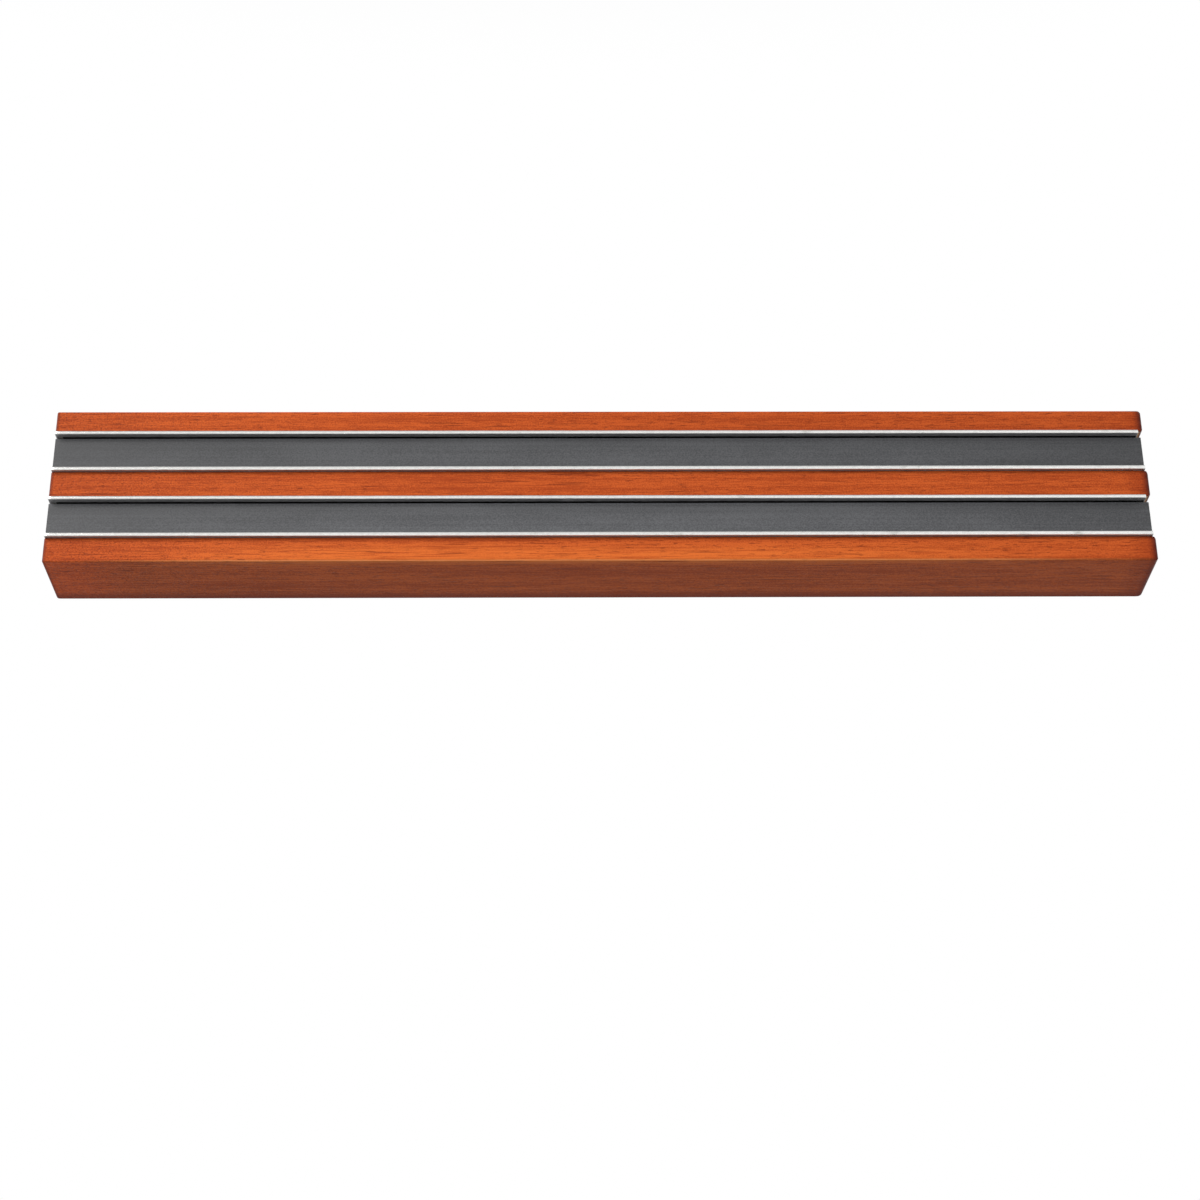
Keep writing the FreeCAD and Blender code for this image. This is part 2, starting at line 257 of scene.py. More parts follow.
def refinish(nodes, material):
    """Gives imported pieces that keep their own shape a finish."""
    for node in nodes:
        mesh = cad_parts[node].data
        mesh.materials.clear()
        mesh.materials.append(material)


# Places that several pieces share


def groove_walls(bar):
    """The heights of a groove's lower and upper walls, which the strips stand against."""
    return span(f"{bar}_bottom_pole")[0][2], span(f"{bar}_top_pole")[1][2]


def groove_floor(bar):
    """How far back a groove reaches, as a place along Y."""
    return span(f"{bar}_glue_bed")[1][1]


# Finishes


def opaque(colour):
    return (*colour, 1.0)


class Finish:
    """One material, and a short way to write its nodes."""

    def __init__(self, name):
        self.material = bpy.data.materials.new(name)
        self.material.use_nodes = True
        self.tree = self.material.node_tree
        self.tree.nodes.clear()
        output = self.tree.nodes.new("ShaderNodeOutputMaterial")
        self.shader = self.tree.nodes.new("ShaderNodeBsdfPrincipled")
        self.tree.links.new(self.shader.outputs[0], output.inputs[0])
        self.place = self.tree.nodes.new("ShaderNodeTexCoord").outputs["Object"]

    def set(self, sockets, values):
        """Links a socket to each value that is another node's output, and sets the others."""
        for name, value in values.items():
            if isinstance(value, bpy.types.NodeSocket):
                self.tree.links.new(value, sockets[name])
            else:
                sockets[name].default_value = value

    def node(self, kind, values, output=0, **settings):
        made = self.tree.nodes.new(kind)
        for name, setting in settings.items():
            setattr(made, name, setting)
        self.set(made.inputs, values)
        return made.outputs[output]

    def math(self, operation, first, second=0.0, third=0.0):
        values = {0: first, 1: second, 2: third}
        return self.node("ShaderNodeMath", values, operation=operation)

    def product(self, first, *others):
        """All the values multiplied together."""
        for other in others:
            first = self.math("MULTIPLY", first, other)
        return first

    def largest(self, first, *others):
        """The largest of the values."""
        for other in others:
            first = self.math("MAXIMUM", first, other)
        return first

    def total(self, first, *others):
        """The sum of value * weight over pairs of a value and its weight."""
        made = self.math("MULTIPLY", *first)
        for value, weight in others:
            made = self.math("MULTIPLY_ADD", value, weight, made)
        return made

    def ragged(self, value, noise, width):
        """A value pushed up by noise times a width, so that a fade over it has a ragged edge."""
        return self.math("MULTIPLY_ADD", noise, width, value)

    def axes(self):
        """The X, Y and Z of the point, in metres."""
        split = self.tree.nodes.new("ShaderNodeSeparateXYZ")
        self.tree.links.new(self.place, split.inputs[0])
        return split.outputs

    def stretched(self, scale, offset=(0, 0, 0)):
        """The point scaled to so many units a metre along each axis, and then moved."""
        moved = {"Vector": self.place, "Location": offset, "Scale": scale}
        return self.node("ShaderNodeMapping", moved)

    def noise(self, scale, detail=2.0, roughness=0.5, offset=(0, 0, 0)):
        """Noise whose grains are 1 / scale metres across along each axis."""
        values = {
            "Vector": self.stretched(scale, offset),
            "Scale": 1.0,
            "Detail": detail,
            "Roughness": roughness,
        }
        return self.node("ShaderNodeTexNoise", values)

    def fade(self, value, low, high, to_low=0.0, to_high=1.0):
        """to_low as far as low, to_high from high on, and a smooth step between.

        low may be the larger of the two, and the fade then runs the other way.
        """
        values = {0: value, 1: low, 2: high, 3: to_low, 4: to_high}
        return self.node("ShaderNodeMapRange", values, interpolation_type="SMOOTHSTEP")

    def mix(self, amount, first, second, blend_type="MIX"):
        values = {0: amount, 6: first, 7: second}
        settings = {"data_type": "RGBA", "blend_type": blend_type}
        return self.node("ShaderNodeMix", values, output=2, **settings)

    def shade(self, colour, *values):
        """A colour times each of some plain numbers."""
        for value in values:
            scaled = {0: colour, "Scale": value}
            colour = self.node("ShaderNodeVectorMath", scaled, operation="SCALE")
        return colour

    def bump(self, height, distance, strength=1.0):
        values = {"Height": height, "Distance": distance, "Strength": strength}
        return self.node("ShaderNodeBump", values)

    def done(self, **values):
        """Sets the shader's sockets, with words joined by underscores, and returns the material."""
        named = {name.replace("_", " ").title(): value for name, value in values.items()}
        fixed = {"Specular Ior Level": "Specular IOR Level"}
        self.set(self.shader.inputs, {fixed.get(name, name): v for name, v in named.items()})
        return self.material


def growth_rings(finish):
    """Rings about a line well outside the board, pulled out along X and a little wavy."""
    values = {
        "Vector": finish.stretched((2.2, 30, 30), (0.3, 2.0, -3.1)),
        "Scale": 3.6,
        "Distortion": 2.4,
        "Detail": 2.0,
        "Detail Scale": 1.4,
    }
    settings = {"wave_type": "RINGS", "rings_direction": "X"}
    return finish.node("ShaderNodeTexWave", values, output=1, **settings)


def wood_pores(finish, x, rings, clouds):
    """Where stain is caught in open pores, from 0 to 1.

    Short ones crowd in the clouds, dots lie towards the left end and dashes follow the rings.
    """
    left = span("wood_board")[0][0]
    short = finish.noise((330, 3000, 3000), detail=1, offset=(1, 9, 4))
    crowd = finish.fade(clouds, 0.42, 0.62, 0.5, 1.0)
    short = finish.product(finish.fade(short, 0.60, 0.70), crowd)
    dots = finish.noise((1500, 3000, 3000), detail=1, offset=(2, 6, 8))
    dots = finish.product(finish.fade(dots, 0.58, 0.68), finish.fade(x, 0.45 * left, 0.9 * left))
    dashes = finish.noise((55, 2300, 2300), offset=(5, 5, 2))
    dashes = finish.product(finish.fade(dashes, 0.62, 0.68), finish.fade(rings, 0.3, 0.6))
    return finish.largest(short, dots, dashes)


def sapwood_band(finish, point, clouds, fibre):
    """How much sapwood shows: a rippled band at the foot of the front, gone near the ends."""
    x, y, z = point
    low, high = span("wood_board")
    band_top, band_full = low[2] + 8.5 * MM, low[2] + 3.5 * MM
    behind, in_front = low[1] + 3.0 * MM, low[1] + 0.5 * MM
    return finish.product(
        finish.fade(finish.ragged(z, clouds, 3 * MM), band_top, band_full),
        finish.fade(x, 0.9 * low[0], 0.5 * low[0]),
        finish.fade(x, 0.95 * high[0], 0.3 * high[0]),
        finish.fade(y, behind, in_front),
        finish.fade(fibre, 0.36, 0.56, 0.35, 1.0),
    )


def extra_coats(finish, x, z):
    """Where more stain was laid on: at both ends and, on the top rib, towards the right."""
    left, right = span("wood_board")[0][0], span("wood_board")[1][0]
    left_reach, right_reach = 32 * MM, 9 * MM
    top_rib = finish.product(
        finish.fade(x, -0.6 * right, 0.3 * right),
        finish.fade(z, *groove_walls("upper_bar"), 0.1, 1.0),
    )
    left_end = finish.fade(x, left + left_reach, left + 1 * MM, 0, 0.9)
    right_end = finish.fade(x, right - right_reach, right - 2 * MM, 0, 2.2)
    return finish.largest(top_rib, left_end, right_end)


def rubbed_edge_and_highlight(finish, point, threads):
    """Where the front's bottom edge is paler, most of all in the middle of the board: partly
    rubbed-thin stain, partly a painted highlight on the rounded edge.
    """
    x, y, z = point
    low, high = span("wood_board")
    unworn, worn = low[2] + 0.85 * MM, low[2] + 0.60 * MM
    behind, in_front = low[1] + 0.24 * MM, low[1] + 0.12 * MM
    from_middle = finish.math("ABSOLUTE", x)
    return finish.product(
        finish.fade(finish.ragged(z, threads, 0.6 * MM), unworn, worn),
        finish.fade(y, behind, in_front),
        finish.fade(from_middle, 0.6 * high[0], high[0], 1.0, 0.1),
    )


def dark_rims(finish, x, threads):
    """Where stain has built up beside the ends: a ragged rim, wider at the right."""
    end = span("wood_board")[1][0]
    fray, depth = 0.8 * MM, 0.6
    mirrored = finish.math("MULTIPLY", x, -1.0)
    right = finish.ragged(x, threads, fray)
    left = finish.ragged(mirrored, threads, fray)
    return finish.largest(
        finish.fade(right, end - 2.4 * MM, end - 0.6 * MM, 0.0, depth),
        finish.fade(left, end - 0.9 * MM, end + 0.1 * MM, 0.0, depth),
    )


def soaked_ends(finish, look, x, rings, fibre):
    """Where the end grain is, and its colour: soaked with stain, with darker vessels."""
    low, high = span("wood_board")
    right = finish.fade(x, high[0] - 1.5 * look.right_arris, high[0] - 0.35 * look.right_arris)
    left = finish.fade(x, low[0] + look.left_arris, low[0] + 0.1 * look.left_arris)
    vessels = finish.noise((300, 2600, 2600), detail=1, offset=(6, 3, 9))
    tone = finish.total((fibre, 0.5), (rings, 0.9))
    tone = finish.math("SUBTRACT", tone, finish.fade(vessels, 0.58, 0.66, 0.0, 0.5))
    colour = finish.mix(finish.fade(tone, 0.2, 1.1), opaque(look.pore), opaque(look.end_grain))
    return finish.largest(right, left), colour


def inside_grooves(finish, y, z):
    """1 on the walls and floors of both grooves and 0 elsewhere, with a fade behind the mouths.

    The grooves lie at equal distances above and below the middle of the rib between them.
    """
    front = span("wood_board")[0][1]
    wall_low, wall_high = groove_walls("upper_bar")
    rib_middle = (wall_low + groove_walls("lower_bar")[1]) / 2
    slack = 0.06 * MM
    height = finish.math("ABSOLUTE", finish.math("SUBTRACT", z, rib_middle))
    return finish.product(
        finish.math("GREATER_THAN", height, wall_low - rib_middle - slack),
        finish.math("LESS_THAN", height, wall_high - rib_middle + slack),
        finish.math("LESS_THAN", y, groove_floor("upper_bar") + slack),
        finish.fade(y, front + 0.3 * MM, front + 0.5 * MM),
    )


def stained_wood(look):
    """Red-orange stain over straight-grained hardwood, with raw wood inside the grooves.

    Growth rings, fibres, threads, speckle and mottling make its tone, and all but the rings are
    noise stretched along X by different amounts. Over it lie, in order, the sapwood, the pores,
    the extra coats, painted shade on the underside (a little browner, thinning out towards the
    left end), a darkening towards the back of the underside, the rubbed edge with a painted
    highlight along it, the rims beside the ends and the soaked end grain.
    """
    finish = Finish("stained_wood")
    point = finish.axes()
    x, y, z = point
    low, high = span("wood_board")

    rings = growth_rings(finish)
    clouds = finish.noise((14, 90, 90), detail=3)
    fibre = finish.noise((60, 2300, 2300), detail=3, roughness=0.6)
    threads = finish.noise((170, 3300, 3300), roughness=0.6, offset=(7, 3, 5))
    speckle = finish.noise((2600, 3300, 3300), detail=1)
    pore = wood_pores(finish, x, rings, clouds)
    tone = finish.total((rings, 0.15), (clouds, 0.5), (fibre, 0.9), (threads, 0.9), (speckle, 1.2))
    tone = finish.fade(tone, 1.54, 2.11)
    stain = finish.mix(tone, opaque(look.deep_stain), opaque(look.pale_stain))

    sapwood = finish.product(sapwood_band(finish, point, clouds, fibre), look.honey_depth)
    stain = finish.mix(sapwood, stain, opaque(look.honey))
    stain = finish.mix(finish.product(pore, look.pore_depth), stain, opaque(look.pore))
    heavy = finish.product(extra_coats(finish, x, z), look.heavy_end)
    stain = finish.mix(heavy, stain, opaque(look.extra_stain), "MULTIPLY")

    # Painted shade on the underside: a darker, slightly browner tint that thins out towards the left
    # end.
    shade_fade_length = 28 * MM
    underside = finish.fade(z, low[2] + 1 * MM, low[2] + 0.2 * MM)
    painted_underside_shade = finish.product(underside, finish.fade(x, low[0], low[0] + shade_fade_length))
    stain = finish.mix(painted_underside_shade, stain, opaque(look.painted_underside_shade), "MULTIPLY")
    # The underside is made darker towards its back edge, with a ragged front to the darkening.
    darkening_front, darkening_back = high[1] - 5 * MM, high[1] + 1 * MM
    darker_at_back = finish.fade(finish.ragged(y, fibre, 2 * MM), darkening_front, darkening_back)
    darker_at_back = finish.product(darker_at_back, underside, look.back_edge_darkening)
    stain = finish.mix(darker_at_back, stain, opaque(look.pore))

    # A paler line along the front's bottom edge: partly rubbed-thin stain, partly a painted highlight.
    worn = finish.product(rubbed_edge_and_highlight(finish, point, threads), look.wear_and_highlight)
    stain = finish.mix(worn, stain, opaque(look.worn))
    stain = finish.mix(dark_rims(finish, x, threads), stain, opaque(look.pore))
    end, soaked = soaked_ends(finish, look, x, rings, fibre)
    stain = finish.mix(end, stain, soaked)
    raw = finish.mix(tone, opaque(look.raw_dark), opaque(look.raw_pale))
    colour = finish.mix(inside_grooves(finish, y, z), stain, raw)

    relief = finish.total((pore, -1.0), (fibre, 0.6), (speckle, 0.5))
    return finish.done(
        base_color=colour,
        roughness=finish.fade(fibre, 0.3, 0.7, 0.46, 0.36),
        specular_ior_level=0.07,
        normal=finish.bump(relief, 0.05 * MM, 0.8),
    )


def strip_steel(look):
    """Steel strip: its front edge ground bright, its wide sides dull as they left the mill.

    Fine drawing lines run along it, with a few worn patches on the bright edge. Beside the
    cover each side is painted near black: painted shade deep in the gap between strip and cover.
    The bright edge is painted darker towards the left and brighter towards the right: painted
    light.
    """
    finish = Finish("pole_steel")
    x, y, _ = finish.axes()
    low, high = span("upper_bar_top_pole")
    front, end = low[1], high[0]
    cover_front = span("upper_bar_cover")[0][1]
    lines = finish.noise((60, 6000, 6000), detail=3, roughness=0.6)
    patches = finish.noise((120, 260, 260), detail=3, roughness=0.6, offset=(3, 1, 2))
    grain = finish.noise((900, 2600, 2600), roughness=0.6, offset=(4, 4, 1))
    worn = finish.fade(patches, 0.60, 0.72)
    side = finish.fade(y, front + 0.30 * MM, front + 0.45 * MM)
    from_middle = finish.math("ABSOLUTE", x)
    # Painted shade: each side goes near black beside the cover, where the gap between strip and cover
    # lies in shade.
    painted_gap_shade = finish.product(
        finish.fade(y, cover_front - 0.05 * MM, cover_front + 0.3 * MM),
        finish.math("LESS_THAN", from_middle, end - 0.4 * MM),
    )
    # Painted light along the strip: the bright edge is painted darker towards the left and brighter
    # towards the right.
    painted_shade_left = finish.fade(x, -end, -0.4 * end, 0.86, 1.03)
    painted_gleam_right = finish.fade(x, -0.4 * end, end, 1.0, 1.1)
    drawn = finish.fade(lines, 0.3, 0.7, 0.90, 1.0)
    mottled = finish.fade(grain, 0.3, 0.7, 0.88, 1.0)
    colour = finish.mix(worn, opaque(look.bright), opaque(look.dull))
    colour = finish.shade(colour, painted_shade_left, painted_gleam_right)
    colour = finish.mix(side, colour, opaque(look.side))
    colour = finish.mix(painted_gap_shade, colour, opaque(look.hidden))
    colour = finish.shade(colour, drawn, mottled)
    worn_roughness, side_roughness = 0.2, 0.35
    roughness = finish.fade(worn, 0, 1, look.roughness, look.roughness + worn_roughness)
    return finish.done(
        base_color=colour,
        metallic=1.0,
        roughness=finish.math("MULTIPLY_ADD", side, side_roughness, roughness),
        normal=finish.bump(finish.math("MULTIPLY_ADD", patches, 2.0, lines), 0.02 * MM, 0.6),
    )


def cover_plastic(look):
    """Dark grey extrusion: faint streaks along it, a fine mottle and a few specks of dust.

    It is painted paler between its ends than at them (painted light), and paler along its upper
    edge just under each strip (painted light). Both covers darken upwards with painted shade, and
    the lower cover is painted paler than the upper.
    """
    finish = Finish("cover_plastic")
    x, _, z = finish.axes()
    streaks = finish.noise((9, 1500, 1500), detail=4, roughness=0.6)
    mottle = finish.noise((2300, 2900, 2900), roughness=0.6, offset=(2, 4, 1))
    clouds = finish.noise((40, 160, 160), offset=(5, 1, 3))
    dust = finish.noise((1100, 1100, 1100), detail=0, offset=(8, 2, 6))
    tone = finish.total((mottle, 1.1), (streaks, 0.4), (clouds, 0.3))
    colour = finish.mix(finish.fade(tone, 0.6, 1.2), opaque(look.dark), opaque(look.pale))
    lower_low, lower_high = span("lower_bar_cover")
    upper_low, upper_high = span("upper_bar_cover")
    left, right = lower_low[0], lower_high[0]
    colour = finish.shade(
        colour,
        # Painted light along the cover: darker towards both ends, paler between them.
        finish.fade(x, 0.95 * left, 0.2 * left, 0.78, 1.05),
        finish.fade(x, 0.5 * right, right, 1.0, 0.78),
        # Painted shade: each cover darker upwards, under the strip above it, and the lower cover
        # painted paler than the upper.
        finish.fade(z, lower_low[2], lower_high[2], 1.45, 1.12),
        finish.fade(z, upper_low[2], upper_high[2], 1.15, 1.0),
    )
    # Painted light just under each strip: the cover is painted paler along its upper edge.
    painted_light_height = 1.1 * MM
    for top in (lower_high[2], upper_high[2]):
        on_cover = finish.math("LESS_THAN", z, top + MM)
        painted_light_under_strip = finish.product(finish.fade(z, top - painted_light_height, top), on_cover)
        colour = finish.shade(colour, finish.fade(painted_light_under_strip, 0, 1, 1.0, 1.8))
    colour = finish.mix(finish.fade(dust, 0.895, 0.912), colour, opaque(look.dust))
    return finish.done(
        base_color=colour,
        roughness=finish.fade(mottle, 0.3, 0.7, 0.52, 0.62),
        specular_ior_level=0.4,
        normal=finish.bump(tone, 0.02 * MM, 0.5),
    )


def sintered_ferrite():
    """Charcoal ceramic, ground on its faces: a fine sparkle of grains and shallow scratches."""
    finish = Finish("ferrite")
    grain = finish.noise((4000, 4000, 4000))
    scratches = finish.noise((3000, 200, 200), detail=3, roughness=0.6)
    dark, pale = (0.022, 0.022, 0.025), (0.060, 0.060, 0.066)
    tone = finish.total((scratches, 0.4), (grain, 0.6))
    return finish.done(
        base_color=finish.mix(finish.fade(tone, 0.35, 0.65), opaque(dark), opaque(pale)),
        roughness=finish.fade(scratches, 0.3, 0.7, 0.42, 0.6),
        normal=finish.bump(tone, 0.03 * MM, 0.5),
    )


def cured_glue():
    """Amber epoxy: a glossy, gently lumpy bead, cloudy where it lies thick."""
    finish = Finish("glue")
    clouds = finish.noise((300, 900, 900))
    dark, pale = (0.50, 0.31, 0.10), (0.62, 0.45, 0.20)
    return finish.done(
        base_color=finish.mix(clouds, opaque(dark), opaque(pale)),
        roughness=0.25,
        normal=finish.bump(clouds, 0.1 * MM),
    )


def plating(name, dark, pale, roughness):
    """Zinc plating over stamped or turned steel: a soft spangle and fine scratches."""
    finish = Finish(name)
    spangle = finish.noise((1300, 1300, 1300), detail=3)
    scratches = finish.noise((250, 5000, 5000), detail=3, roughness=0.6)
    tone = finish.total((scratches, 0.4), (spangle, 0.6))
    return finish.done(
        base_color=finish.mix(finish.fade(tone, 0.1, 0.9), opaque(dark), opaque(pale)),
        metallic=1.0,
        roughness=finish.fade(spangle, 0.3, 0.7, roughness, roughness + 0.15),
        normal=finish.bump(tone, 0.02 * MM, 0.5),
    )


# Settings


def length_setting(name, description, default):
    return FloatProperty(name=name, description=description, default=default, unit="LENGTH")


def lengths_setting(name, description, default):
    """Several lengths in one setting."""
    count = len(default)
    return FloatVectorProperty(
        name=name, description=description, default=default, size=count, unit="LENGTH"
    )


def angle_setting(name, description, degrees):
    """An angle, given in degrees and kept in radians."""
    turn = math.radians(degrees)
    return FloatProperty(name=name, description=description, default=turn, unit="ROTATION")


def share_setting(name, description, default):
    return FloatProperty(name=name, description=description, default=default, subtype="FACTOR")


def power_setting(name, description, default):
    return FloatProperty(name=name, description=description, default=default, unit="POWER")


def colour_setting(name, description, default):
    return FloatVectorProperty(
        name=name, description=description, default=default, subtype="COLOR"
    )


class BoardSettings(bpy.types.PropertyGroup):
    """The board's arrises and pockets, and the colours of its stain."""

    left_arris: length_setting("Left Arris", "Rounding of the left end's edges", 0.45 * MM)
    right_arris: length_setting("Right Arris", "Rounding of the right end's edges", 1.15 * MM)
    back_corners: lengths_setting(
        "Back Corners",
        "Rounding of the upright edges next to the wall, left and right",
        (1.2 * MM, 2.0 * MM),
    )
    top_front_arris: length_setting("Top Front Arris", "Rounding along the front's top edge", 0.8 * MM)
    bottom_front_arris: length_setting(
        "Bottom Front Arris", "Rounding along the front's bottom edge", 0.32 * MM
    )
    back_arris: length_setting("Back Arris", "Rounding of the edges next to the wall", 0.8 * MM)
    groove_arris: length_setting("Groove Arris", "Rounding of the grooves' mouths", 0.2 * MM)
    recess: length_setting("Recess", "Depth of the hangers' recesses", 1.6 * MM)
    hanger_gap: length_setting("Hanger Gap", "Room round each hanger", 0.25 * MM)
    hanger_corner: length_setting("Hanger Corner", "Corner radius of a hanger", 5.0 * MM)
    head_room: length_setting("Head Room", "Width of the room for a wall screw's head", 10.8 * MM)
    head_depth: length_setting("Head Depth", "Depth of that room from the back", 6.1 * MM)
    keyhole_travel: length_setting("Keyhole Travel", "How far a hanger slides down its screw", 7.0 * MM)
    pilot: length_setting("Pilot", "Pilot hole's width", 3.1 * MM)
    pilot_depth: length_setting("Pilot Depth", "Pilot hole's length past its screw", 0.6 * MM)
    pale_stain: colour_setting("Pale Stain", "Stain between the fibres", (0.445, 0.081, 0.0150))
    deep_stain: colour_setting("Deep Stain", "Stain in the fibres", (0.275, 0.040, 0.007))
    pore: colour_setting("Pore", "Stain caught in the pores", (0.085, 0.010, 0.004))
    extra_stain: colour_setting("Extra Stain", "Tint of the extra coats", (0.76, 0.66, 0.64))
    # Painted shade: the darker, slightly browner tint laid over the underside.
    painted_underside_shade: colour_setting("Second Coat", "Tint of the browner underside", (0.71, 0.80, 0.76))
    end_grain: colour_setting("End Grain", "Stain soaked into the ends", (0.118, 0.019, 0.008))
    raw_pale: colour_setting("Pale Raw Wood", "Bare wood in the grooves", (0.48, 0.29, 0.14))
    raw_dark: colour_setting("Dark Raw Wood", "Fibres of the bare wood", (0.32, 0.17, 0.075))
    honey: colour_setting("Honey", "Sapwood along the bottom edge", (0.60, 0.138, 0.024))
    # Worn and Wear set the paler line along the front's bottom edge: partly thin stain, partly a
    # painted highlight.
    worn: colour_setting("Worn", "Thin stain on the rubbed edge", (0.62, 0.24, 0.09))
    honey_depth: share_setting("Honey Depth", "How pale the sapwood is", 0.62)
    wear_and_highlight: share_setting("Wear", "How far the edge is rubbed", 0.45)
    pore_depth: share_setting("Pore Depth", "How dark the pores are", 0.6)
    heavy_end: share_setting("Heavy End", "How strong the extra coats are", 0.42)
    # How much darker the underside gets towards its back edge.
    back_edge_darkening: share_setting("Pooling", "How dark the stain is that pooled next to the wall", 0.75)


class StripSettings(bpy.types.PropertyGroup):
    """The four steel strips."""

    upper_edges: lengths_setting(
        "Upper Edges",
        "Rounding of the front's upper edge, on a bar's upper and lower strips",
        (0.40 * MM, 0.22 * MM),
    )
    lower_edge: length_setting("Lower Edge", "Rounding of the front's lower edge", 0.26 * MM)
    back_edge: length_setting("Back Edge", "Rounding of hidden edges", 0.12 * MM)
    end_edge: length_setting("End Edge", "Rounding of the ends", 0.25 * MM)
    crown: length_setting("Crown", "How far the upper edge lies behind the lower", 0.16 * MM)
    waviness: length_setting("Waviness", "How far the front edge wanders", 0.04 * MM)
    bright: colour_setting("Bright", "Ground steel", (0.86, 0.86, 0.84))
    dull: colour_setting("Dull", "Worn patches", (0.56, 0.56, 0.53))
    side: colour_setting("Side", "Mill finish on the sides", (0.42, 0.42, 0.43))
    # Painted shade: the near-black colour of the strip sides deep in the gap beside the cover.
    hidden: colour_setting("Hidden", "Grime beside the cover", (0.03, 0.03, 0.03))
    roughness: share_setting("Roughness", "Of the bright edge", 0.24)


class CoverSettings(bpy.types.PropertyGroup):
    """The two plastic covers."""

    edge: length_setting("Edge", "Rounding of the front edges", 0.3 * MM)
    end_edge: length_setting("End Edge", "Rounding of the ends", 0.1 * MM)
    step: length_setting("Step", "Depth of the die line", 0.04 * MM)
    step_place: share_setting("Step Place", "Height of the die line on the cover", 0.62)
    dark: colour_setting("Dark", "Darker streaks", (0.022, 0.0227, 0.0248))
    pale: colour_setting("Pale", "Paler streaks", (0.050, 0.0514, 0.0552))
    dust: colour_setting("Dust", "Specks of dust", (0.55, 0.53, 0.50))


class StageSettings(bpy.types.PropertyGroup):
    """The camera, the lights and the floor."""

    lens: FloatProperty(
        name="Lens", description="Focal length, on a 36 mm wide sensor", default=72.75
    )
    target: FloatVectorProperty(
        name="Target",
        description="What the camera looks at, from the middle of the back",
        default=(-0.5 * MM, -11.5 * MM, -30.0 * MM),
        subtype="XYZ",
        unit="LENGTH",
    )
    distance: length_setting("Distance", "From the camera to the target", 0.6687)
    azimuth: angle_setting("Azimuth", "Turn of the camera about the rack, to the right", -0.861)
    elevation: angle_setting("Elevation", "Height of the camera above the rack, as an angle", -26.50)
    roll: angle_setting("Roll", "Tilt of the camera about its own axis", -0.506)
    floor_drop: length_setting("Floor Drop", "Height of the rack above the floor", 1.15)
    key_power: power_setting("Key Power", "Of the large light in front", 29.0)
    fill_power: power_setting("Fill Power", "Of the light from the left", 3.0)


class RackSettings(bpy.types.PropertyGroup):
    """Everything that can be set on the rack and its stage."""

    board: PointerProperty(type=BoardSettings, name="Board")
    strips: PointerProperty(type=StripSettings, name="Strips")
    covers: PointerProperty(type=CoverSettings, name="Covers")
    stage: PointerProperty(type=StageSettings, name="Stage")


# Pieces


def board_outline(look):
    """The board's section: its corners in (Y, Z), anticlockwise from +X, and their radii."""
    low, high = span("wood_board")
    front, back = low[1], high[1]
    corners = [(back, low[2]), (back, high[2]), (front, high[2])]
    radii = [look.back_arris, look.back_arris, look.top_front_arris]
    for bar in BARS:
        bottom, top = groove_walls(bar)
        floor = groove_floor(bar)
        corners += [(front, top), (floor, top), (floor, bottom), (front, bottom)]
        radii += [look.groove_arris, LEAST_RADIUS, LEAST_RADIUS, look.groove_arris]
    corners.append((front, low[2]))
    radii.append(look.bottom_front_arris)
    return corners, radii


def back_pockets(look):
    """The spaces cut into the board's back: a recess, a head room and two pilot holes a hanger.

    Each recess starts clear of the wood, and the head rooms and pilot holes start half way down
    it, so that no two faces of the cutters lie in one plane.
    """
    back = span("wood_board")[1][1]
    clear = back + look.recess
    floor = back - look.recess
    half_way = back - 0.5 * look.recess
    pockets = []
    for hanger in HANGERS:
        low, high = span(hanger)
        middle = (low + high)[[0, 2]] / 2
        half = (high - low)[[0, 2]] / 2 + look.hanger_gap
        corner = look.hanger_corner + look.hanger_gap
        outline = rounded_outline(middle, half, corner, count=64)
        pockets.append(prism("recess", outline, floor, clear))
        radius = look.head_room / 2
        half = (radius, radius + look.keyhole_travel / 2)
        outline = rounded_outline(middle, half, radius, count=64)
        pockets.append(prism("head_room", outline, back - look.head_depth, half_way))
    for screw in SCREWS:
        low, high = span(screw)
        middle = (low + high)[[0, 2]] / 2
        radius = look.pilot / 2
        outline = rounded_outline(middle, (radius, radius), radius, count=32)
        pockets.append(prism("pilot", outline, low[1] - look.pilot_depth, half_way))
    return pockets


class RACK_OT_board(bpy.types.Operator):
    """Carve the stained board: two open grooves in front, softly sanded arrises all round"""

    bl_idname = "rack.board"
    bl_label = "Board"

    def execute(self, context):
        look = context.scene.rack.board
        low, high = span("wood_board")
        corners, radii = board_outline(look)
        left = np.full(len(corners), look.left_arris)
        right = np.full(len(corners), look.right_arris)
        left[0], right[0] = look.back_corners
        x = stations(low[0], high[0], max(left), max(right), pitch=12 * MM, steps=10)
        outlines = rounded_sections(corners, radii, end_insets(x, left, right), steps=7)
        block = carried_section("block", x, outlines)
        mesh = cut_away(block, back_pockets(look))
        board = new_piece("board", mesh, stained_wood(look))
        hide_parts("wood_board")
        return {"FINISHED"}


def pushed_back(outlines, low, high, dips, crown):
    """Strip outlines whose fronts lie further back by (dip + crown * height^2) * front^8.

    height runs from 0 to 1 up the strip, and front from 0 at its back to 1 at its front. There
    is one dip for each outline.
    """
    front = (high[1] - outlines[..., 0]) / (high[1] - low[1])
    height = (outlines[..., 1] - low[2]) / (high[2] - low[2])
    moved = outlines.copy()
    moved[..., 0] += (dips[:, None] + crown * height**2) * front**8
    return moved


